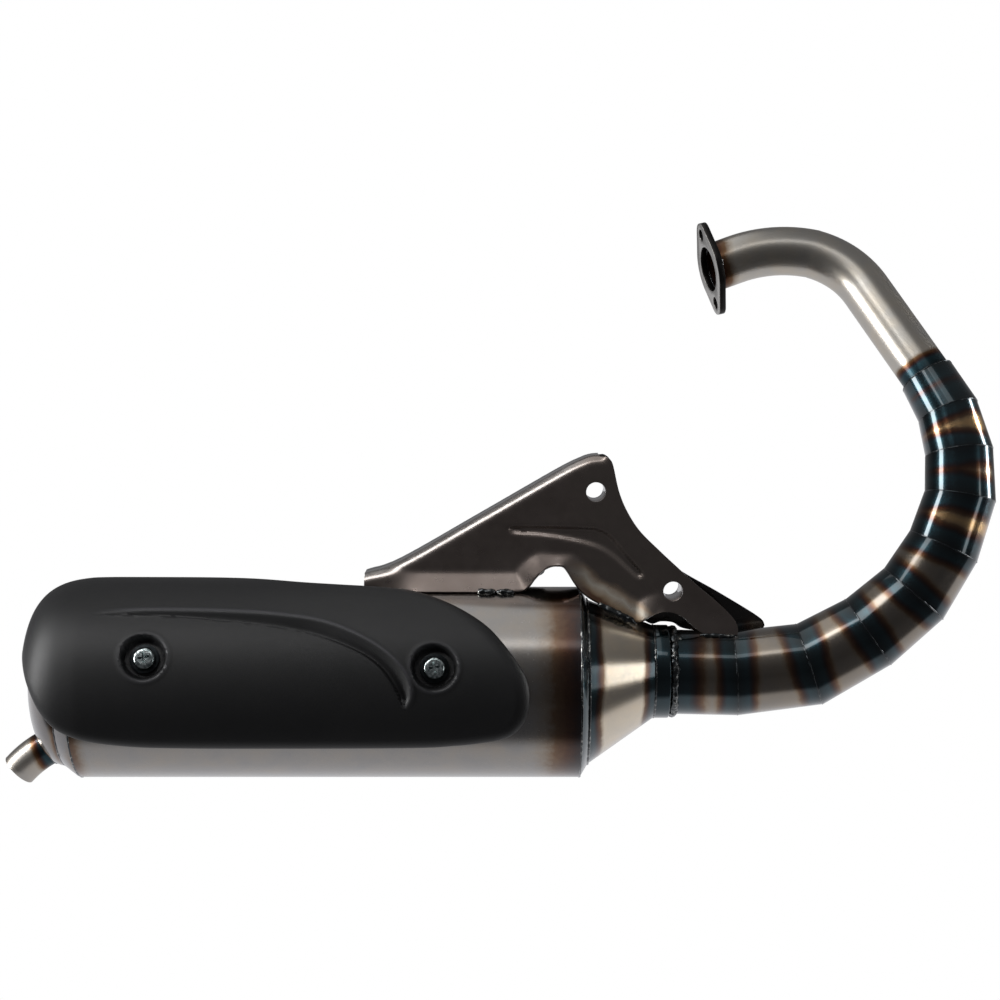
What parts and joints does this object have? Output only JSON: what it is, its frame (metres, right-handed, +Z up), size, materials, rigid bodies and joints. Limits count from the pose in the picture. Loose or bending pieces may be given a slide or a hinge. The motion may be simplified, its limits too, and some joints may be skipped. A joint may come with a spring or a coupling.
{
  "type": "scooter exhaust system",
  "caption": "Tuned two-stroke scooter exhaust with a pie-cut curled diffuser, a silencer canister under a black heat shield, a two-bolt hanger bracket and a port flange.",
  "frame": {"origin": "centre of the exhaust port on the sealing face of port_flange", "axes": "+X along the canister from its tail to its inlet end, +Z up as it hangs on the engine, -Y towards the side that carries the heat shield"},
  "size_m": [0.5516, 0.142, 0.3159],
  "materials": {
    "port_flange": "satin, lacquered",
    "header_pipe": "satin, lacquered",
    "diffuser_segment_1": "heat-tinted, lacquered",
    "diffuser_segment_2": "heat-tinted, lacquered",
    "diffuser_segment_3": "heat-tinted, lacquered",
    "diffuser_segment_4": "heat-tinted, lacquered",
    "diffuser_segment_5": "heat-tinted, lacquered",
    "diffuser_segment_6": "heat-tinted, lacquered",
    "diffuser_segment_7": "heat-tinted, lacquered",
    "diffuser_segment_8": "heat-tinted, lacquered",
    "diffuser_segment_9": "heat-tinted, lacquered",
    "inlet_collar": "heat-tinted, lacquered",
    "inlet_cone": "heat-tinted, lacquered",
    "canister_shell": "satin, lacquered",
    "front_end_ring": "satin, lacquered",
    "rear_end_ring": "satin, lacquered",
    "rear_end_cap": "satin, lacquered",
    "tail_pipe": "satin, lacquered",
    "heat_shield": "satin black",
    "shield_washer_1": "black oxide",
    "shield_screw_1": "bright zinc plate",
    "shield_washer_2": "black oxide",
    "shield_screw_2": "bright zinc plate",
    "bracket_front_plate": "heat-tinted, lacquered",
    "bracket_rear_plate": "heat-tinted, lacquered",
    "bracket_spacer_1": "heat-tinted, lacquered",
    "bracket_spacer_2": "heat-tinted, lacquered",
    "counter_cone": "satin, lacquered",
    "stinger_tube": "satin, lacquered",
    "front_baffle_plate": "satin, lacquered",
    "rear_baffle_plate": "satin, lacquered"
  },
  "bodies": {
    "root": {"port_flange": "port_flange", "header_pipe": "header_pipe", "diffuser_segment_1": "diffuser_segment_1", "diffuser_segment_2": "diffuser_segment_2", "diffuser_segment_3": "diffuser_segment_3", "diffuser_segment_4": "diffuser_segment_4", "diffuser_segment_5": "diffuser_segment_5", "diffuser_segment_6": "diffuser_segment_6", "diffuser_segment_7": "diffuser_segment_7", "diffuser_segment_8": "diffuser_segment_8", "diffuser_segment_9": "diffuser_segment_9", "inlet_collar": "inlet_collar", "inlet_cone": "inlet_cone", "canister_shell": "canister_shell", "front_end_ring": "front_end_ring", "rear_end_ring": "rear_end_ring", "rear_end_cap": "rear_end_cap", "tail_pipe": "tail_pipe", "heat_shield": "heat_shield", "shield_washer_1": "shield_washer_1", "shield_screw_1": "shield_screw_1", "shield_washer_2": "shield_washer_2", "shield_screw_2": "shield_screw_2", "bracket_front_plate": "bracket_front_plate", "bracket_rear_plate": "bracket_rear_plate", "bracket_spacer_1": "bracket_spacer_1", "bracket_spacer_2": "bracket_spacer_2", "counter_cone": "counter_cone", "stinger_tube": "stinger_tube", "front_baffle_plate": "front_baffle_plate", "rear_baffle_plate": "rear_baffle_plate"}
  },
  "joints": []
}
